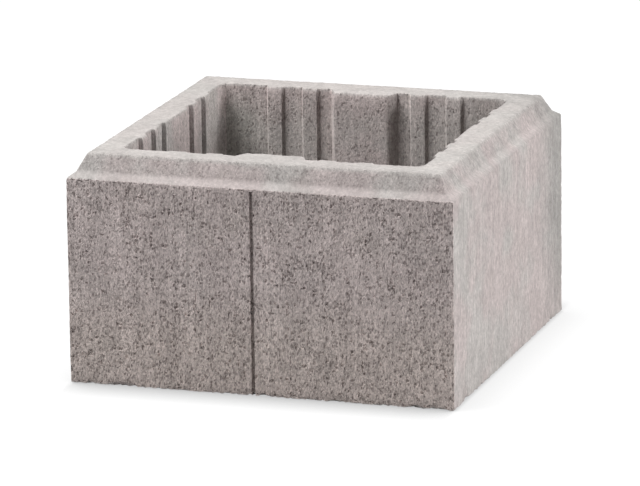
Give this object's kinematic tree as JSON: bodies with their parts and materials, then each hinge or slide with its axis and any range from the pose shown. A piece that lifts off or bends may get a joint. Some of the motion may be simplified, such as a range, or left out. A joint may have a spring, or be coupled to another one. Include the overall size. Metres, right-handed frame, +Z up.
{
  "type": "pillar block",
  "caption": "Hollow square concrete block for building a pillar, with a raised bevelled rim, ribbed inner walls and a false joint in its front face.",
  "frame": {"origin": "middle of the underside", "axes": "+Z up, the way the block is laid; +X along the front face to the right; the front face with the false joint looks along -Y"},
  "size_m": [0.38, 0.38, 0.222],
  "materials": {
    "concrete": "pressed concrete, matt, with a fine open grain"
  },
  "bodies": {
    "root": {"pillar_block": "concrete"}
  },
  "joints": []
}
